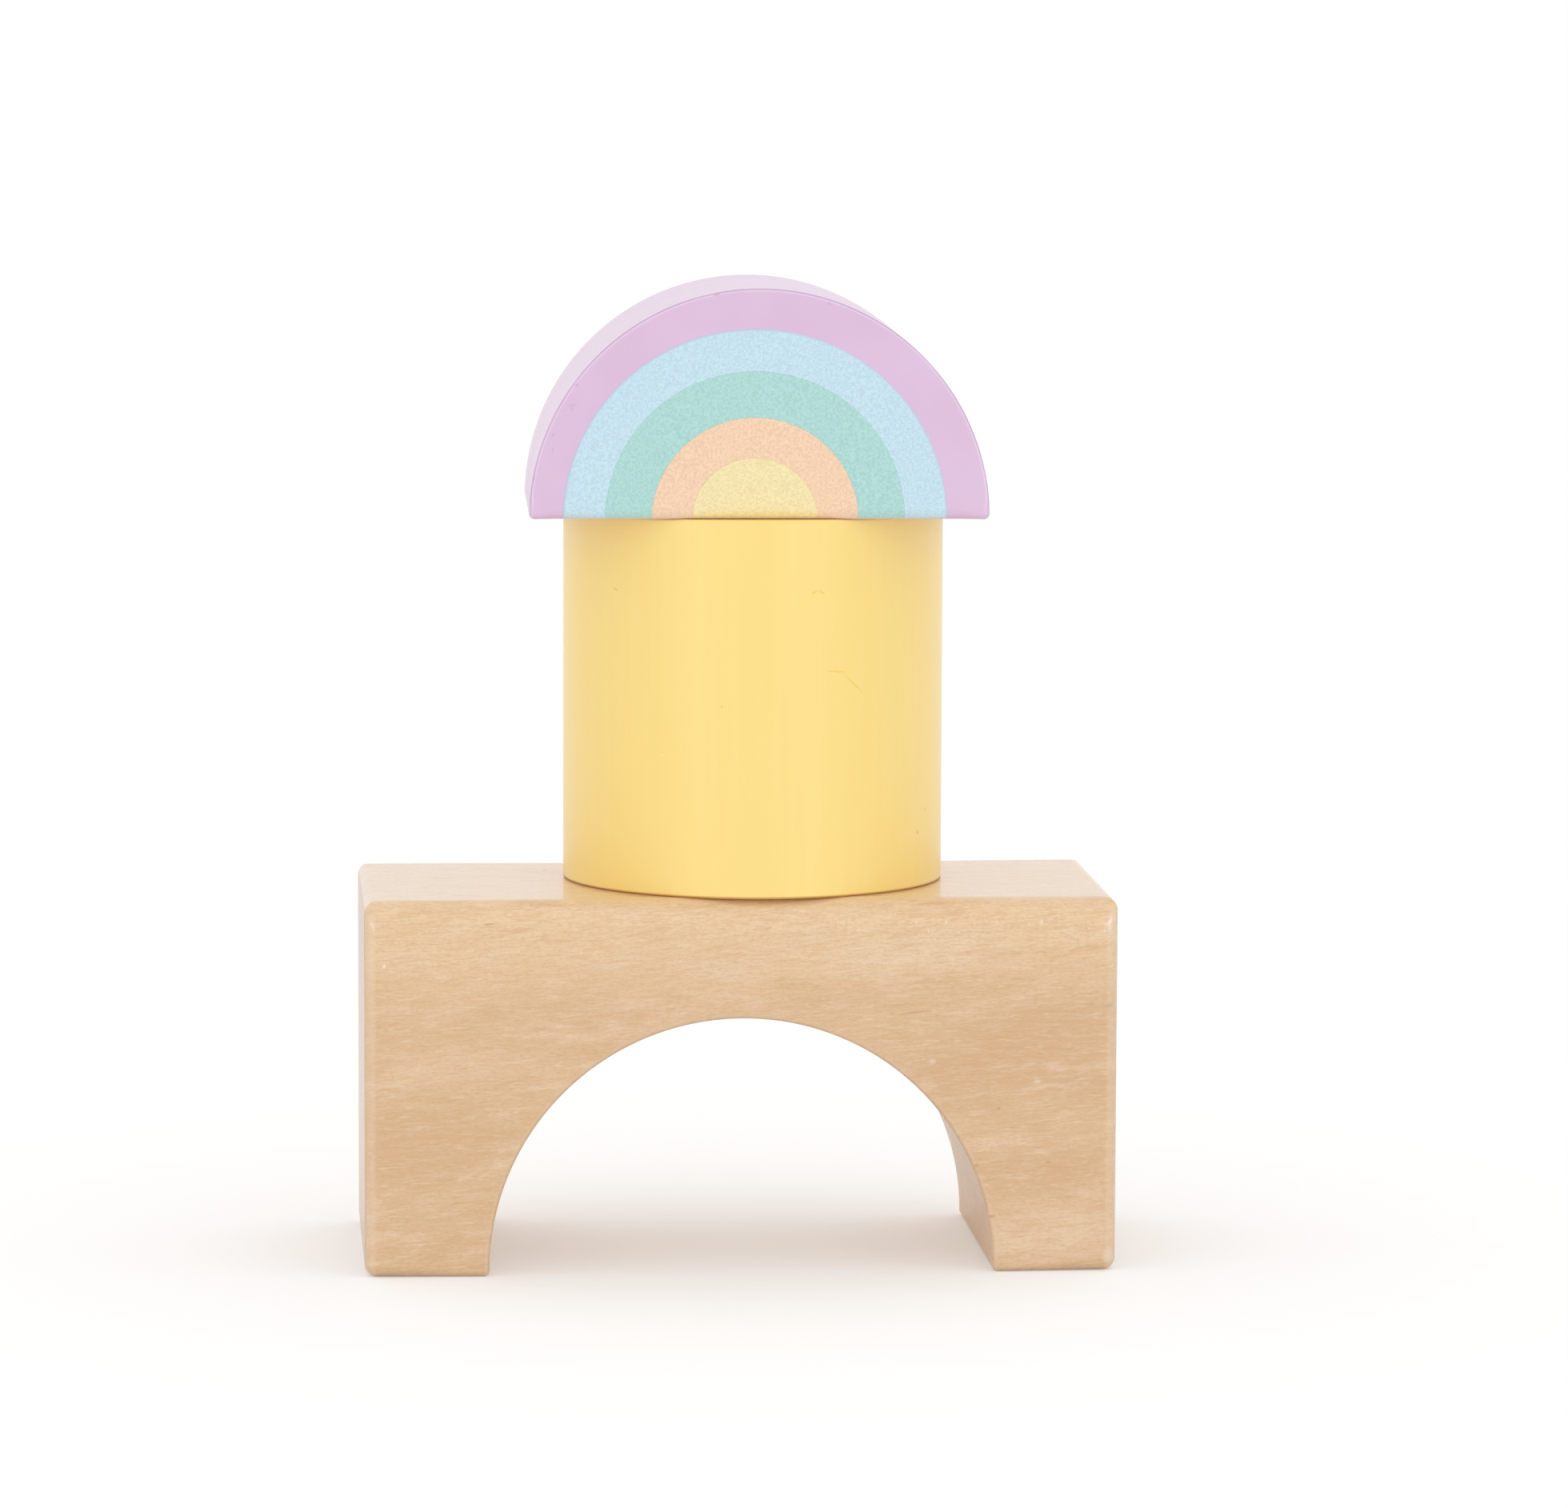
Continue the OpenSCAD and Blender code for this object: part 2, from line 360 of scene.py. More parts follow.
def arch_loop():
    """The cross-section, point by point: the share of the way from the wall to the outline, how far
    the point stands out from the wall and from the outline (in edge radii), its y, and the y part of
    its outward direction. It runs along the wall to the front, round the rim, up the front face,
    round the outer edge, back along the outside, and down the back face. The lines lie closer
    together towards the outer edges, where the long top edges will be rounded."""
    half = arch_depth / 2
    wall_y = spread(half - OPENING_EDGE, -half + OPENING_EDGE, 25)
    close = np.linspace(-half + ARCH_EDGE, -half + CLOSE_LINES, 14)
    wide = np.linspace(-half + WIDE_LINES, half - WIDE_LINES, 17)
    outer_y = np.concatenate([close, wide, -close[::-1]])
    face = np.concatenate([[0.012], np.linspace(0.06, 0.6, 9), np.linspace(0.64, 0.988, 26)])
    none, bend = np.zeros_like, BEND[1:-1]
    share = [none(wall_y), none(bend), [0], face, [1], 1 + none(bend), 1 + none(outer_y),
             1 + none(bend), [1], face[::-1], [0], none(bend)]
    wall_out = [1 + none(wall_y), np.cos(bend), [0], none(face), [0], none(bend), none(outer_y),
                none(bend), [0], none(face), [0], np.sin(bend)]
    outer_out = [none(wall_y), none(bend), [0], none(face), [0], np.sin(bend), 1 + none(outer_y),
                 np.cos(bend), [0], none(face), [0], none(bend)]
    rim_y, edge_y = OPENING_EDGE * (1 - np.sin(bend)), ARCH_EDGE * (1 - np.cos(bend))
    y = [wall_y, rim_y - half, [-half], none(face) - half, [-half], edge_y - half, outer_y,
         half - edge_y[::-1], [half], none(face) + half, [half], half - rim_y[::-1]]
    y_out = [none(wall_y), -np.sin(bend), [-1], none(face) - 1, [-1], -np.cos(bend), none(outer_y),
             np.sin(bend), [1], none(face) + 1, [1], np.cos(bend)]
    return [np.concatenate(part) for part in (share, wall_out, outer_out, y, y_out)]


def arch_foot(loop_xy, loop_out, radius):
    """Rounds a foot off: each point of the last loop goes down and in on a quarter circle, in by
    r (1 - cos b) and down to r (1 - sin b), and the flat sole shrinks to the foot's middle."""
    bend = BEND[1:, None]
    ring = loop_xy - (radius * (1 - np.cos(bend)))[..., None] * loop_out
    ring_z = radius * (1 - np.sin(bend))
    middle = ring[-1].mean(0)
    shrink = np.array([0.97, 0.6, 0.3])[:, None, None]
    sole = middle + shrink * (ring[-1] - middle)
    z = np.concatenate([ring_z, np.zeros(sole.shape[:2])])
    return np.concatenate([np.concatenate([ring, sole]), z[..., None]], -1), middle


print("cross-section:", len(arch_loop()[0]), "points")


# %% Arch, the whole skin
def long_edges_rounded(points):
    """Draws the two long top edges in. In the section across the block, a point outside the quarter
    circle of radius r about (half depth - r, height - r) comes in to it, towards its centre. The
    radius wanders along the block, as a hand-sanded edge does, and is largest under the column."""
    x, y, z = np.moveaxis(points, -1, 0)
    wander = np.cos(2 * np.pi * (x - column_middle[0]) / arch_length)
    r = ARCH_TOP_EDGE * (1 + TOP_EDGE_WANDER * wander)
    across, up = np.abs(y) - (arch_depth / 2 - r), z - (arch_height - r)
    far = np.hypot(across, up)
    pull = np.where((across > 0) & (up > 0) & (far > r), r / np.maximum(far, 1e-9), 1)
    y = np.sign(y) * (arch_depth / 2 - r + across * pull)
    return np.stack([x, y, arch_height - r + up * pull], -1)


def arch_rings():
    """Carries the loop along the path. A point is (1 - s) wall + s outline, moved out by its edge
    radii, in x and z, at the loop's own y. The two feet close the ends. One mark is 1 half way round
    a sharp edge and 0 on the flats and the round top edges, the other is 1 on the opening's wall."""
    wall, inwards, outline, outwards = (part[:, None] for part in arch_path())
    share, wall_out, outer_out, y, y_out = arch_loop()
    s, w, o = share[:, None], wall_out[:, None], outer_out[:, None]
    flat = (1 - s) * wall + s * outline + OPENING_EDGE * w * inwards + ARCH_EDGE * o * outwards
    body = np.stack([flat[..., 0], np.broadcast_to(y, flat.shape[:2]), flat[..., 1]], -1)
    feet = []
    for end, way in ((0, 1), (-1, -1)):
        loop_out = np.stack([way * (outer_out - wall_out), y_out], -1)
        feet.append(arch_foot(body[end, :, :2], loop_out, body[end, :, 2]))
    (right, right_middle), (left, left_middle) = feet
    rings = np.concatenate([right[::-1], long_edges_rounded(body), left])
    sharp = np.concatenate([np.ones(len(right)), 1 - outwards[:, 0, 1], np.ones(len(left))])[:, None]
    on_edge = np.minimum(1, 4 * (sharp * outer_out * (1 - outer_out) + wall_out * (1 - wall_out)))
    marks = {"on_edge": on_edge,
             "in_opening": np.broadcast_to(wall_out, rings.shape[:2])}
    return rings, np.append(right_middle, 0), np.append(left_middle, 0), marks


arch_grid, right_sole, left_sole, arch_marks = arch_rings()
arch = closed_surface("wooden_arch", arch_place + arch_grid,
                      arch_place + right_sole, arch_place + left_sole, arch_marks)
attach(arch, "arch")
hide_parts("arch_block")

# %% [markdown]
# ## The printed rainbow
# The rainbow is four coats of ink, each a film a few hundredths of a millimetre thick. It could be
# painted in the half-round's material, but then it would have no edge and no thickness of its own.
# Each film is a grid laid on the face: one parameter runs across the band, the other along it, from
# the right end over the top to the left end. At both ends the ink runs a little way round the sanded
# lower edge, as a print does. The film's front stands just proud and its back is sunk in the wood.

# %% Ink films
INK_PROUD = 0.05
INK_SUNK = 0.02
INK_OVERLAP = 0.02
INK_LIP = 0.08
INK_WRAP = 1.3
INK_FADE = 0.15
WRAP_STEPS = 8
PRINT_SHIFT = -0.5
PRINT_DROP = 0.2
BAND_RADII = {"yellow": (0, 6.7), "peach": (6.7, 10.95),
              "green": (10.95, 15.85), "blue": (15.85, 20.3)}


def reach(radius, angle):
    """How far a circle is, at an angle, from the middle of the line where the face's lower edge
    begins to round: the circle's centre lies a little below that line."""
    drop = PRINT_DROP + LOWER_EDGE
    return np.sqrt(np.maximum(radius ** 2 - (drop * np.cos(angle)) ** 2, 0)) - drop * np.sin(angle)


def film_grid(inner, outer, around=181):
    """Points and outward directions of a band on the half-round's skin, for each step across it and
    along it. On the face a point is reach * (cos a, sin a); past both ends it goes down round the
    lower edge by the angle w. Also how far across the band each step lies, in mm, and the angle w."""
    lip = np.array([0, 0.3, 0.65, 1]) * INK_LIP
    wide = outer - inner
    inside = np.linspace(INK_LIP, wide - INK_LIP, 15)[1:-1]
    across = np.concatenate([lip, inside, wide - lip[::-1]]) / wide
    round_edge = np.linspace(0, INK_WRAP, WRAP_STEPS + 1)[1:]
    over = np.linspace(0, np.pi, around)
    a = np.concatenate([np.zeros(WRAP_STEPS), over, np.full(WRAP_STEPS, np.pi)])
    w = np.concatenate([round_edge[::-1], np.zeros(around), round_edge])
    far = reach(inner, a) if inner > 0 else np.zeros_like(a)
    length = far + across[:, None] * (reach(outer, a) - far)
    w = np.broadcast_to(w, length.shape)
    points = np.stack([PRINT_SHIFT + length * np.cos(a),
                       -HALF_ROUND_DEPTH / 2 + LOWER_EDGE * (1 - np.cos(w)),
                       LOWER_EDGE * (1 - np.sin(w)) + length * np.sin(a)], -1)
    outwards = np.stack([np.zeros_like(w), -np.cos(w), -np.sin(w)], -1)
    return points, outwards, across * wide, w


def ink_film(name, inner, outer):
    """A closed film: the front grid lifted off the skin, lower towards its edges and both ends, and
    the same grid sunk behind it, joined all round by a seam."""
    points, outwards, across, w = film_grid(max(inner - INK_OVERLAP, 0), outer)
    edge = np.minimum(across, across[-1] - across) if inner > 0 else across[-1] - across
    lift = INK_PROUD * np.sqrt(1 - (1 - np.clip(edge / INK_LIP, 0, 1)) ** 2)
    lift = lift[:, None] * np.clip((INK_WRAP - w) / INK_FADE, 0, 1)
    front = points + outwards * lift[..., None]
    back = points - outwards * INK_SUNK
    rows, columns = w.shape
    index = np.arange(rows * columns).reshape(rows, columns)
    here, right, down, across_down = index[:-1, :-1], index[:-1, 1:], index[1:, :-1], index[1:, 1:]
    quads = np.stack([here, right, across_down, down], -1).reshape(-1, 4)
    inner_edge = index[0, -2::-1] if inner > 0 else index[0, :0]
    seam = np.concatenate([index[-1], index[-2::-1, -1], inner_edge, index[1:, 0]])
    sides = np.stack([seam[:-1], seam[1:], seam[1:] + index.size, seam[:-1] + index.size], -1)
    faces = quads.tolist() + (quads[:, ::-1] + index.size).tolist() + sides.tolist()
    from_outer = np.broadcast_to((across[-1] - across)[:, None], w.shape)
    marks = {"from_outer_edge": np.tile(from_outer.ravel(), 2),
             "round_lower_edge": np.tile(w.ravel(), 2)}
    both = np.concatenate([front.reshape(-1, 3), back.reshape(-1, 3)])
    return add_mesh(name, on_column(both), faces, marks)


ink = {}
for tint, (inner, outer) in BAND_RADII.items():
    film = ink_film(f"{tint}_ink_film", inner, outer)
    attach(film, "half_round")
    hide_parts(f"print_band_{tint}")
    ink[tint] = film

# %% [markdown]
# ## Helpers for the finishes
# A finish is a small network of nodes. The patterns are solid: they read the Object coordinates, in
# metres, so the grain runs through the block as it does in real wood, and end grain shows where the
# block is cut across. A Mapping node of the Texture kind stretches a noise into fibres: its Scale is
# then simply the size of one fibre along each axis. The helpers take and return sockets, and a socket
# knows the network that it belongs to, its id_data.

# %% Node helpers, the network
def colour(red, green, blue):
    """A screen colour from 0 to 255, as the linear colour that a node takes, by the sRGB curve."""
    screen = np.array([red, green, blue]) / 255
    linear = np.where(screen <= 0.04045, screen / 12.92, ((screen + 0.055) / 1.055) ** 2.4)
    return (*linear.tolist(), 1.0)


def add_node(tree, kind, inputs=None, **settings):
    """Adds a node. Each input is a socket to link or a value to set."""
    made = tree.nodes.new(kind)
    for setting, value in settings.items():
        setattr(made, setting, value)
    for key, value in (inputs or {}).items():
        if isinstance(value, bpy.types.NodeSocket):
            tree.links.new(value, made.inputs[key])
        else:
            made.inputs[key].default_value = value
    return made


def new_material(name):
    """A material with an empty network, and the Object coordinates for its patterns."""
    material = bpy.data.materials.new(name)
    material.use_nodes = True
    tree = material.node_tree
    tree.nodes.clear()
    place = add_node(tree, "ShaderNodeTexCoord").outputs["Object"]
    return material, tree, place


def new_finish(name, sockets):
    """A material with one Principled shader, whose fixed values are set on its own sockets."""
    material, tree, place = new_material(name)
    shader = add_node(tree, "ShaderNodeBsdfPrincipled", sockets)
    add_node(tree, "ShaderNodeOutputMaterial", {"Surface": shader.outputs[0]})
    return material, shader, place


def wire(shader, sockets):
    """Links what varies over the surface to a shader's sockets."""
    for name, value in sockets.items():
        shader.id_data.links.new(value, shader.inputs[name])


print("middle grey, as a linear colour:", round(colour(128, 128, 128)[0], 3))


# %% Node helpers, values and patterns
def reckoned(operation, first, second=0.0):
    """The result of one Math node."""
    inputs = {0: first, 1: second}
    return add_node(first.id_data, "ShaderNodeMath", inputs, operation=operation).outputs[0]


def times(first, second):
    """The product of two values."""
    return reckoned("MULTIPLY", first, second)


def plus(first, second):
    """The sum of two values."""
    return reckoned("ADD", first, second)


def axis(place, name):
    """One coordinate of a point, in mm."""
    part = add_node(place.id_data, "ShaderNodeSeparateXYZ", {0: place}).outputs[name]
    return times(part, 1 / MM)


def distance(place):
    """How far a point is from the start of its axes, in their own units."""
    length = add_node(place.id_data, "ShaderNodeVectorMath", {0: place}, operation="LENGTH")
    return length.outputs["Value"]


def mark_for(shader, name):
    """A number that the mesh carries at each of its points."""
    return add_node(shader.id_data, "ShaderNodeAttribute", attribute_name=name).outputs["Fac"]


def stretched(place, size, start=(0, 0, 0), turn=(0, 0, 0)):
    """Coordinates for a pattern: one unit is as long as the size says, in mm, on axes that start at a
    point, in mm, and are turned by angles in degrees."""
    return add_node(place.id_data, "ShaderNodeMapping", {
        "Vector": place,
        "Location": [part * MM for part in start],
        "Scale": [part * MM for part in size],
        "Rotation": [math.radians(part) for part in turn]}, vector_type="TEXTURE").outputs[0]


def noise(place, detail=2.0, roughness=0.5, distortion=0.0):
    """Soft noise from 0 to 1, mostly about a half."""
    return add_node(place.id_data, "ShaderNodeTexNoise", {
        "Vector": place, "Scale": 1.0, "Detail": detail,
        "Roughness": roughness, "Distortion": distortion}).outputs[0]


def ramp(value, low, high, to_low=0.0, to_high=1.0):
    """Carries a value from one range to another, and holds it at the ends."""
    return add_node(value.id_data, "ShaderNodeMapRange", {
        "Value": value, "From Min": low, "From Max": high,
        "To Min": to_low, "To Max": to_high}, interpolation_type="SMOOTHSTEP").outputs[0]


def blended(share, first, second):
    """Goes from the first colour to the second as the share goes from 0 to 1."""
    inputs = {0: share, 6: first, 7: second}
    return add_node(share.id_data, "ShaderNodeMix", inputs, data_type="RGBA").outputs[2]


def bumped(height, strength, distance_mm):
    """A normal that follows a height, as if the surface rose by up to the distance."""
    return add_node(height.id_data, "ShaderNodeBump", {
        "Height": height, "Strength": strength, "Distance": distance_mm * MM}).outputs[0]


def with_specks(place, base, specks):
    """Adds specks to a colour. Each is an ellipsoid about a point, soft at its edge: the share of its
    tint falls from its strength in the middle to 0 at its rim."""
    for point, size, turn, strength, tint in specks:
        far = distance(stretched(place, size, point, turn))
        base = blended(ramp(far, 0.3, 1.0, strength, 0.0), base, colour(*tint))
    return base


# %% [markdown]
# ## The lacquered wood
# The arch is a pale, even wood with the grain along its length. Its tint changes in broad zones that
# rise a little to the right, with mottles, fine wavy fibres and short flecks over them. The sawn ends
# show growth rings instead. Clear lacquer lies over it all, so the top, seen at a low angle, mirrors
# the pale room; in the opening the lacquer is thin. The plane left small pale ticks on the right half
# of the rounded long edge, and the real block has a few pin knots and specks. Every zone and
# speck is one row below: its place, size, turn, strength and tint.
# The paler tint on the sharp edges is part wear and part a painted highlight, and one pale patch on
# the front-right edge is a painted highlight.

# %% Arch finish, tints and places
RISING = (0, -6, 0)
FIBRE_TURN = (0, -3, 0)
DARK_WOOD, LIGHT_WOOD, WEAR_AND_HIGHLIGHT_WOOD = (224, 187, 145), (236, 203, 160), (244, 222, 194)
LIGHT_RING, DARK_RING, PORE = (210, 171, 131), (198, 157, 116), (176, 133, 94)
TAN, CREAM = (210, 164, 120), (243, 216, 182)
BROWN, PALE, GREY = (198, 146, 98), (250, 240, 225), (176, 152, 132)
HEART = (0, 14, -46)
ENDLESS = 1e6
END_DEPTH = 0.2
arch_front = arch_low[1]
ARCH_ZONES = [
    ((31.0, arch_front, 25.5), (15, 40, 5.0), (0, -9, 0), 0.45, TAN),
    ((22.0, arch_front, 20.5), (13, 40, 4.5), (0, -9, 0), 0.35, TAN),
    ((37.0, arch_front, 21.0), (10, 40, 4.0), (0, -9, 0), 0.4, TAN),
    ((32.0, arch_front, 11.0), (10, 40, 3.5), (0, -7, 0), 0.35, TAN),
    ((32.0, arch_front, 4.0), (12, 40, 4.5), (0, -5, 0), 0.55, CREAM),
    ((18.0, arch_front, 34.0), (14, 40, 3.6), (0, -4, 0), 0.35, CREAM),
    ((-34.0, arch_front, 14.5), (13, 40, 6.0), (0, -8, 0), 0.35, TAN),
    ((-30.0, arch_front, 22.5), (12, 40, 2.5), (0, -8, 0), 0.25, CREAM),
]
ARCH_SPECKS = [
    ((-37.9, arch_front, 33.3), (0.25, 0.5, 0.25), RISING, 0.7, PALE),
    ((-26.9, arch_front, 37.7), (0.8, 1.0, 0.16), RISING, 0.6, BROWN),
    ((18.4, arch_front, 28.0), (2.2, 0.5, 0.16), RISING, 0.55, BROWN),
    ((39.0, arch_front, 28.6), (0.8, 1.5, 0.35), RISING, 0.35, GREY),
    ((37.1, arch_front, 28.8), (0.5, 1.0, 0.3), RISING, 0.25, BROWN),
    # This pale patch on the front-right edge is a painted highlight.
    ((39.1, arch_front, 37.4), (0.4, 1.5, 1.4), (0, 8, 0), 0.38, PALE),
    ((39.2, arch_front, 1.6), (0.9, 1.5, 1.2), (0, 0, 0), 0.28, PALE),
    ((27.3, arch_front, 17.6), (0.3, 0.4, 0.22), RISING, 0.6, GREY),
    ((31.4, arch_front, 20.5), (0.5, 0.4, 0.35), RISING, 0.28, PALE),
    ((20.2, arch_front, 22.7), (0.5, 0.4, 0.4), RISING, 0.28, PALE),
    ((25.0, arch_front, 11.5), (0.4, 0.6, 0.3), RISING, 0.5, BROWN),
    ((26.7, arch_front, 6.0), (0.45, 0.6, 0.3), RISING, 0.5, BROWN),
    ((32.7, arch_front, 11.8), (0.45, 0.5, 0.25), RISING, 0.4, BROWN),
    ((-19.8, 5.9, arch_high[2]), (0.4, 0.9, 0.4), (0, 0, -20), 0.7, BROWN),
]
print("arch:", len(ARCH_ZONES), "zones,", len(ARCH_SPECKS), "specks")


# %% Arch finish, the network
def long_grain(place, fibres):
    """The faces along the grain. The tint follows the height, waved by broad noise, and the zones. In
    each layer over it, the share of its tint grows as its pattern goes from one value to another."""
    bands = noise(stretched(place, (75, 30, 9), (31, 12, 7), RISING), 3, 0.5, 0.6)
    mottle = noise(stretched(place, (6, 3, 1.4), (3, 8, 2), RISING), 3, 0.6, 0.5)
    pale_fibres = noise(stretched(place, (2.2, 0.4, 0.25), (9, 5, 3), FIBRE_TURN), 3, 0.6, 0.9)
    grain = noise(stretched(place, (0.55, 0.24, 0.24), (5, 1, 6)), 2, 0.6)
    flecks = noise(stretched(place, (1.3, 0.3, 0.18), (4, 2, 8), RISING), 1, 0.5)
    wavy = plus(axis(place, "Z"), times(bands, 24))
    base = blended(ramp(wavy, 38, 50), colour(*DARK_WOOD), colour(*LIGHT_WOOD))
    base = with_specks(place, base, ARCH_ZONES)
    layers = [(mottle, 0.5, 0.72, 0.5, (239, 210, 179)),
              (mottle, 0.48, 0.3, 0.35, (214, 171, 124)),
              (fibres, 0.4, 0.72, 0.4, (210, 164, 112)),
              (pale_fibres, 0.48, 0.75, 0.34, (246, 224, 196)),
              (grain, 0.42, 0.7, 0.26, (204, 160, 114)),
              (flecks, 0.66, 0.78, 0.4, (198, 150, 104))]
    for pattern, low, high, share, tint in layers:
        base = blended(ramp(pattern, low, high, 0, share), base, colour(*tint))
    return base


def end_grain(place):
    """The sawn ends. The growth rings are circles about the tree's heart, an endless line along the
    block, well below it, so the distance from that line picks the tint. Fine pores lie over them."""
    far = distance(stretched(place, (ENDLESS, 1, 1), HEART))
    far = plus(far, times(noise(stretched(place, (30, 9, 9))), 3.0))
    across_rings = add_node(far.id_data, "ShaderNodeCombineXYZ", {0: times(far, 0.9)}).outputs[0]
    rings = noise(across_rings, 3, 0.6)
    pores = noise(stretched(place, (2, 0.2, 0.2)), 2, 0.6)
    base = blended(ramp(rings, 0.35, 0.68), colour(*LIGHT_RING), colour(*DARK_RING))
    return blended(ramp(pores, 0.48, 0.72, 0, 0.4), base, colour(*PORE))


def plane_ticks(place):
    """Small upright ticks, kept to the rounded long edge at the front, on its right half."""
    height, depth, along = (axis(place, name) for name in "ZYX")
    ticks = noise(stretched(place, (0.36, 2.0, 0.9), (2, 7, 1)), 2, 0.5)
    on_edge = times(ramp(height, 35.9, 36.8), ramp(height, 38.8, 38.2))
    on_edge = times(on_edge, ramp(depth, arch_front + 3, arch_front + 2))
    on_edge = times(on_edge, ramp(along, 6, 12))
    return times(on_edge, ramp(ticks, 0.6, 0.74, 0, 0.45))


def arch_wood():
    """Long grain with ticks and specks, edges paler by wear and painted highlight, end grain on the
    ends, lacquer over all.
    """
    material, shader, place = new_finish("arch_wood", {
        "IOR": 1.5, "Coat Roughness": 0.14, "Coat IOR": 1.5})
    fibres = noise(stretched(place, (2.6, 0.42, 0.3), turn=FIBRE_TURN), 4, 0.65, 0.9)
    base = long_grain(place, fibres)
    base = blended(plane_ticks(place), base, colour(*PALE))
    # The sharp edges are paler: partly wear, partly a painted highlight.
    at_edge = times(mark_for(shader, "on_edge"), ramp(fibres, 0.3, 0.7, 0.1, 0.35))
    base = blended(at_edge, base, colour(*WEAR_AND_HIGHLIGHT_WOOD))
    base = with_specks(place, base, ARCH_SPECKS)
    from_middle = reckoned("ABSOLUTE", axis(place, "X"))
    on_end = ramp(from_middle, arch_length / 2 - END_DEPTH, arch_length / 2)
    base = blended(on_end, base, end_grain(place))
    opening = mark_for(shader, "in_opening")
    lacquer = times(ramp(opening, 0.2, 0.9, 0.78, 0.4), ramp(on_end, 0, 1, 1, 0.75))
    wire(shader, {"Base Color": base, "Roughness": ramp(opening, 0.2, 0.9, 0.45, 0.6),
                  "Coat Weight": lacquer, "Normal": bumped(fibres, 0.15, 0.02)})
    return material


arch.data.materials.append(arch_wood())
print("arch finish:", len(arch.data.materials[0].node_tree.nodes), "nodes")

# %% [markdown]
# ## The yellow paint
# Satin paint covers the column evenly: it glows a little and shows only a trace of the upright grain.
# Playing has left a few hair-thin scuffs and dots. A darker band round the foot's edge is painted
# shade, for the shadow where the column sits on the arch. A scuff is placed by its angle round the
# column, counted from the front to the right, and its height.

# %% Column finish
YELLOW, DEEP_YELLOW, CLOUD_YELLOW = (255, 225, 132), (255, 223, 128), (255, 222, 125)
OCHRE, YOLK, CHALK, FOOT_EDGE_SHADE = (226, 178, 92), (243, 204, 55), (255, 240, 190), (186, 118, 44)
DUST, PALE_DUST = (170, 150, 100), (190, 160, 100)
SCUFF_DEPTH = 0.5


def scuff(angle, height, size, tilt, strength, tint):
    """A speck that lies on the column's side: its point is (r sin a, -r cos a) from the axis, and its
    own axes are turned by the same angle, so that it is long across, thin upright and flat."""
    a = math.radians(angle)
    point = (column_middle[0] + column_radius * math.sin(a),
             column_middle[1] - column_radius * math.cos(a), height)
    return point, (size[0], SCUFF_DEPTH, size[1]), (0, -tilt, angle), strength, tint


COLUMN_SCUFFS = [
    scuff(14.3, 72.55, (0.55, 0.12), 30, 0.9, YOLK),
    scuff(16.6, 72.55, (0.6, 0.12), -25, 0.9, YOLK),
    scuff(-49.5, 72.4, (0.5, 0.12), -20, 0.6, OCHRE),
    scuff(21.2, 64.1, (1.7, 0.12), -6, 0.7, YOLK),
    scuff(27.3, 62.7, (2.0, 0.12), -40, 0.7, YOLK),
    scuff(-13.3, 60.5, (0.18, 0.16), 0, 0.6, OCHRE),
    scuff(55.8, 46.0, (0.16, 0.25), 0, 0.7, DUST),
    scuff(60.5, 48.4, (0.14, 0.2), 0, 0.5, PALE_DUST),
    scuff(-31.8, 55.1, (0.16, 0.2), 0, 0.7, CHALK),
]


def column_paint():
    """Two yellows along the upright grain, a third in clouds, painted shade round the foot and the
    scuffs.
    """
    material, shader, place = new_finish("column_paint", {
        "IOR": 1.5, "Coat Weight": 0.85, "Coat Roughness": 0.4, "Coat IOR": 1.5})
    grain = noise(stretched(place, (1.0, 1.0, 30)), 3, 0.6)
    cloud = noise(stretched(place, (16, 16, 22)), 2, 0.5)
    peel = noise(stretched(place, (0.6, 0.6, 0.8)), 2, 0.5)
    base = blended(ramp(grain, 0.3, 0.7), colour(*YELLOW), colour(*DEEP_YELLOW))
    base = blended(ramp(cloud, 0.3, 0.75, 0, 0.5), base, colour(*CLOUD_YELLOW))
    # Painted shade: the foot's edge is darkened for the shadow in the crease where the column sits.
    over_foot = reckoned("SUBTRACT", axis(place, "Z"), column_low[2])
    at_edge = times(ramp(over_foot, 0.35, 0.1, 0, 0.7), ramp(over_foot, 0.0, 0.04, 0.15, 1))
    base = blended(at_edge, base, colour(*FOOT_EDGE_SHADE))
    base = with_specks(place, base, COLUMN_SCUFFS)
    wire(shader, {"Base Color": base, "Roughness": ramp(grain, 0.3, 0.7, 0.42, 0.46),
                  "Normal": bumped(peel, 0.1, 0.02)})
    return material


column.data.materials.append(column_paint())
print("column finish:", len(column.data.materials[0].node_tree.nodes), "nodes")

# %% [markdown]
# ## The lavender paint
# The half-round is painted thinly. Its curved side was sanded along the curve, and the paint keeps
# these fine streaks, while the face is even. Along the arc's rim a thin pale line is a painted
# highlight, with a thin darker line beside it that is painted shade, and the rim has a few nicks.

# %% Half-round finish
LAVENDER, DEEP_LAVENDER, STREAK = (225, 193, 223), (221, 188, 219), (208, 172, 207)
RIM_HIGHLIGHT_TINT, RIM_SHADE_TINT, PLUM = (240, 220, 240), (188, 150, 190), (196, 160, 200)
NICK_DEPTH = 0.4


def nick(angle, inset, size, tilt, strength):
    """A speck on the face near the rim, by its angle from the right end of the arc and its distance
    from the rim: (R - d) (cos a, sin a), set in place. It lies along the rim, tilted a little."""
    a, far = math.radians(angle), half_round_radius - inset
    point = on_column((far * math.cos(a), -face_depth, far * math.sin(a)))
    return tuple(point), (size[0], NICK_DEPTH, size[1]), (0, 90 - angle + tilt, 0), strength, PLUM


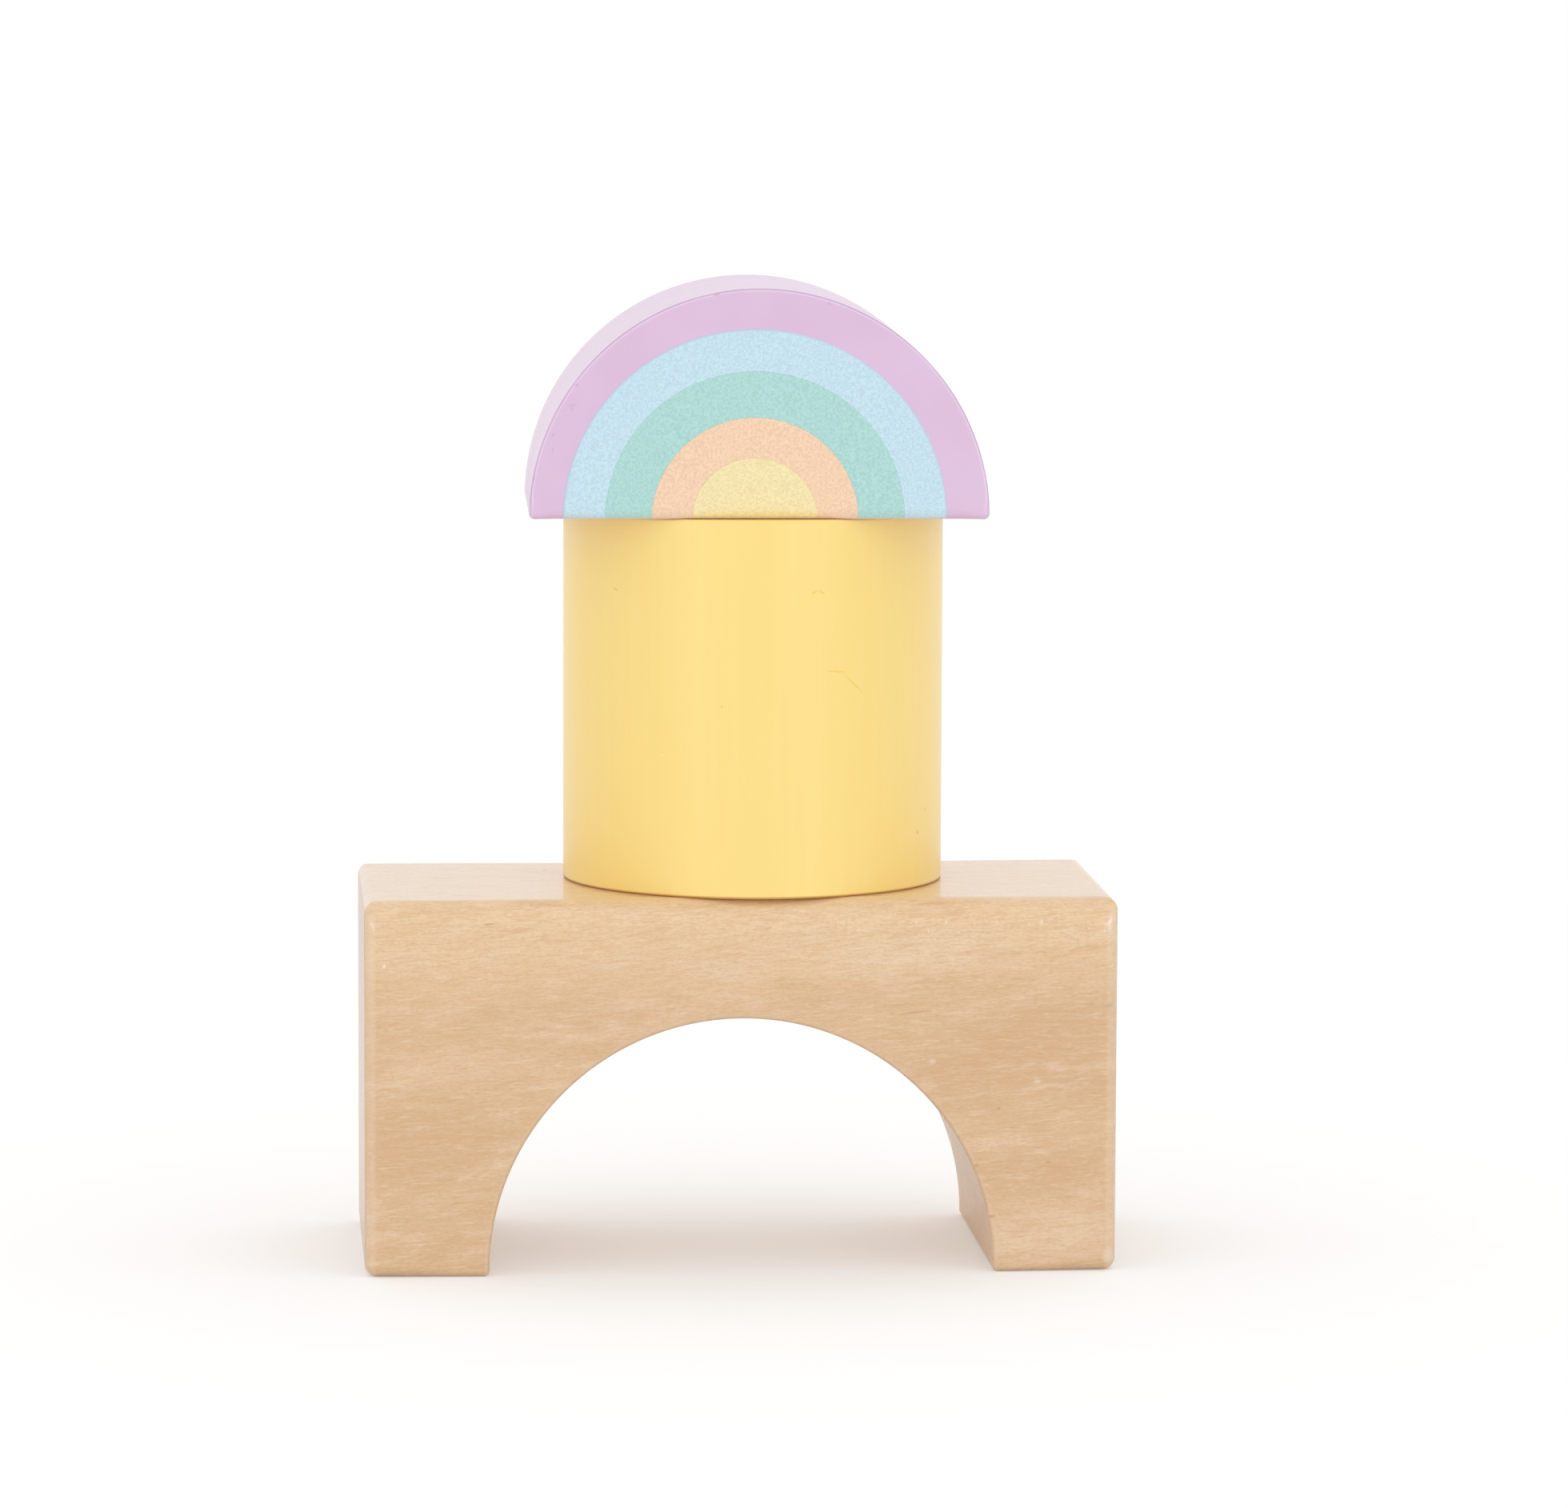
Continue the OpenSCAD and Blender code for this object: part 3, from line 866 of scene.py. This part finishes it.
HALF_ROUND_NICKS = [
    nick(72.4, 0.45, (0.35, 0.14), 5, 0.5),
    nick(101, 0.2, (0.5, 0.16), 0, 0.6),
    nick(143.7, 0.35, (0.4, 0.16), 12, 0.5),
    nick(148.7, 1.15, (0.75, 0.15), 50, 0.4),
    nick(149.5, 1.35, (0.4, 0.13), -20, 0.4),
    nick(157.6, 0.8, (0.4, 0.17), 35, 0.4),
    nick(161.5, 1.3, (0.35, 0.15), -15, 0.35),
    nick(169.6, 0.1, (0.6, 0.2), 0, 0.6),
]


def half_round_paint():
    """Two lavenders in clouds, streaks on the curved side, and along the arc's rim a thin painted
    highlight and a thin painted shade line, placed by the mark that tells how far round the rim a
    point is."""
    material, shader, place = new_finish("half_round_paint", {
        "IOR": 1.5, "Coat Weight": 0.6, "Coat Roughness": 0.22, "Coat IOR": 1.5})
    turned = (0, 0, math.degrees(HALF_ROUND_TURN))
    streaks = noise(stretched(place, (9, 0.32, 9), turn=turned), 4, 0.65)
    cloud = noise(stretched(place, (9, 9, 9)), 2, 0.5)
    peel = noise(stretched(place, (0.5, 0.5, 0.5)), 2, 0.5)
    base = blended(ramp(cloud, 0.3, 0.7), colour(*LAVENDER), colour(*DEEP_LAVENDER))
    rim = mark_for(shader, "round_the_rim")
    on_side = ramp(rim, 0.6, 1.0)
    streaked = times(on_side, ramp(streaks, 0.38, 0.68, 0.15, 0.65))
    base = blended(streaked, base, colour(*STREAK))
    on_arc = ramp(axis(place, "Z"), half_round_low[2] + 0.8, half_round_low[2] + 2.5)
    # Painted highlight: a thin pale line just inside the arc's rim.
    painted_rim_highlight = times(ramp(rim, 0.02, 0.12), ramp(rim, 0.45, 0.3, 0, 0.45))
    base = blended(times(on_arc, painted_rim_highlight), base, colour(*RIM_HIGHLIGHT_TINT))
    # Painted shade: a thin darker line where the rim turns onto the side.
    painted_rim_shade = times(ramp(rim, 0.35, 0.5), ramp(rim, 0.95, 0.75))
    painted_rim_shade = times(painted_rim_shade, ramp(cloud, 0.3, 0.6, 0.3, 0.65))
    base = blended(times(on_arc, painted_rim_shade), base, colour(*RIM_SHADE_TINT))
    base = with_specks(place, base, HALF_ROUND_NICKS)
    wire(shader, {"Base Color": base, "Roughness": ramp(streaks, 0.3, 0.7, 0.36, 0.44),
                  "Normal": bumped(peel, 0.1, 0.02)})
    return material


half_round.data.materials.append(half_round_paint())
print("half-round finish:", len(half_round.data.materials[0].node_tree.nodes), "nodes")

# %% [markdown]
# ## The inks
# The inks are matt and finely stippled. Each runs into the next one inwards with a soft, stippled
# border, and where the blue laps over the lavender it leaves a thin bluish line. Where a film goes
# round the lower edge, it was rubbed thin and the lavender shows through as a greyish veil.

# %% Ink finishes
INK_TINTS = {"yellow": (247, 231, 177), "peach": (248, 213, 181),
             "green": (178, 221, 216), "blue": (200, 229, 241)}
VEIL = (226, 208, 220)
LAPPED = (194, 194, 227)
STIPPLE_LIGHTER, STIPPLE_DARKER = 6, 9


def ink_finish(name, inner_tint):
    """A stippled tint that runs into the inner band's tint, if there is one, and wears off below."""
    material, shader, place = new_finish(f"{name}_ink", {"IOR": 1.45})
    tint = INK_TINTS[name]
    stipple = noise(stretched(place, (0.27, 0.27, 0.27)), 2, 0.6)
    lighter = tuple(min(255, part + STIPPLE_LIGHTER) for part in tint)
    darker = tuple(part - STIPPLE_DARKER for part in tint)
    base = blended(ramp(stipple, 0.3, 0.7), colour(*darker), colour(*lighter))
    from_outer = mark_for(shader, "from_outer_edge")
    if inner_tint:
        inner, outer = BAND_RADII[name]
        width = outer - inner
        border = plus(from_outer, times(stipple, 0.4))
        run_in = ramp(border, width + 0.18, width + 0.48, 0, 0.6)
        base = blended(run_in, base, colour(*inner_tint))
    if name == "blue":
        to_left = ramp(axis(place, "X"), 12, -2, 0.35, 0.65)
        lap = times(ramp(from_outer, 0.3, 0.08), to_left)
        lap = times(lap, ramp(stipple, 0.35, 0.6, 0.45, 1))
        base = blended(lap, base, colour(*LAPPED))
    at_edge = mark_for(shader, "round_lower_edge")
    base = blended(ramp(at_edge, 0.5, 1.2, 0, 0.6), base, colour(*VEIL))
    wire(shader, {"Base Color": base, "Roughness": ramp(stipple, 0.3, 0.7, 0.6, 0.75),
                  "Normal": bumped(stipple, 0.3, 0.03)})
    return material


for name, inner_tint in zip(INK_TINTS, (None, *INK_TINTS.values())):
    ink[name].data.materials.append(ink_finish(name, inner_tint))
print("inks:", ", ".join(ink))

# %% [markdown]
# ## Light and floor
# The photograph was taken in a white tent: light comes softly and almost evenly from all round. The
# room is white for the camera and for reflections, and a little dimmer as a source of light, so that
# the colours come out as they are written. Two low, wide strip lamps, in front at the left and at the
# right, make up for the rest and put a soft gloss on the paint. The floor is white too and keeps a
# soft shadow near the blocks.

# %% World and lamps
WHITE = (1, 1, 1, 1)
ROOM_LEVEL = 0.95
LAMP_WIDE, LAMP_TALL = 420, 62
LAMPS = {"left_lamp": ((-430, -640, 36), 0.38), "right_lamp": ((350, -686, 36), 0.42)}
LAMP_AIM = Vector((0, 0, 50)) * MM


def seen_by(tree, *rays):
    """1 for rays of these kinds, and 0 for the others."""
    path = add_node(tree, "ShaderNodeLightPath").outputs
    seen = path[rays[0]]
    for ray in rays[1:]:
        seen = reckoned("MAXIMUM", seen, path[ray])
    return seen


def white_room():
    """A world of plain white for what is seen, at the room's level for what is lit."""
    world = bpy.data.worlds.new("white_room")
    world.use_nodes = True
    tree = world.node_tree
    tree.nodes.clear()
    seen = seen_by(tree, "Is Camera Ray", "Is Glossy Ray", "Is Transmission Ray")
    level = add_node(tree, "ShaderNodeMapRange", {"Value": seen, "To Min": ROOM_LEVEL, "To Max": 1.0})
    light = add_node(tree, "ShaderNodeBackground", {"Color": WHITE, "Strength": level.outputs[0]})
    add_node(tree, "ShaderNodeOutputWorld", {"Surface": light.outputs[0]})
    bpy.context.scene.world = world


def strip_lamp(name, place, power):
    """A soft strip that faces the middle of the stack, at a place in mm."""
    data = bpy.data.lights.new(name, "AREA")
    data.shape = "RECTANGLE"
    data.size, data.size_y = LAMP_WIDE * MM, LAMP_TALL * MM
    data.energy = power
    lamp = bpy.data.objects.new(name, data)
    bpy.context.scene.collection.objects.link(lamp)
    lamp.location = Vector(place) * MM
    lamp.rotation_euler = (lamp.location - LAMP_AIM).to_track_quat("Z", "Y").to_euler()
    lamp.visible_camera = False
    print(f"{name}: {LAMP_WIDE} by {LAMP_TALL} mm, {power} W")


white_room()
for name, (place, power) in LAMPS.items():
    strip_lamp(name, place, power)

# %% Floor
FLOOR_RADIUS = 900
FLOOR_DROP = 0.02
FLOOR_GREY, FLOOR_GLOW = 0.8, 0.26
FADE_START, FADE_END = 120 * MM, 300 * MM


def floor_finish():
    """Near the blocks a matt grey that takes their shadow, lifted to white by a glow, and further out
    plain white, for the camera and in reflections. As a source of light the floor is just matt."""
    material, tree, place = new_material("white_floor")
    matt = add_node(tree, "ShaderNodeBsdfDiffuse", {"Color": (FLOOR_GREY, FLOOR_GREY, FLOOR_GREY, 1)})
    glow = add_node(tree, "ShaderNodeEmission", {"Color": WHITE, "Strength": FLOOR_GLOW})
    white = add_node(tree, "ShaderNodeEmission", {"Color": WHITE, "Strength": 1.0})
    lifted = add_node(tree, "ShaderNodeAddShader", {0: matt.outputs[0], 1: glow.outputs[0]})
    far = ramp(distance(place), FADE_START, FADE_END)
    looks = add_node(tree, "ShaderNodeMixShader", {0: far, 1: lifted.outputs[0], 2: white.outputs[0]})
    seen = seen_by(tree, "Is Camera Ray", "Is Glossy Ray")
    shown = add_node(tree, "ShaderNodeMixShader", {0: seen, 1: matt.outputs[0], 2: looks.outputs[0]})
    add_node(tree, "ShaderNodeOutputMaterial", {"Surface": shown.outputs[0]})
    return material


def white_floor():
    """A round floor: points on rings about the stack, at (r cos a, r sin a), closer in the middle."""
    r = np.linspace(0, 1, 25)[1:, None] ** 2 * FLOOR_RADIUS
    a = np.linspace(0, 2 * np.pi, 96, endpoint=False)
    rings = np.stack([r * np.cos(a), r * np.sin(a), np.full((len(r), len(a)), -FLOOR_DROP)], -1)
    quads, here, following = ring_quads(len(r), len(a))
    fan = np.stack([np.full(len(a), len(r) * len(a)), here, following], -1)
    points = np.vstack([rings.reshape(-1, 3), [0, 0, -FLOOR_DROP]])
    floor = add_mesh("floor", points, quads.tolist() + fan.tolist())
    floor.data.materials.append(floor_finish())


white_floor()

# %% [markdown]
# ## Finish
# The picture is shown as it is lit, without a film curve.

# %% Finish
bpy.context.scene.view_settings.view_transform = "Standard"
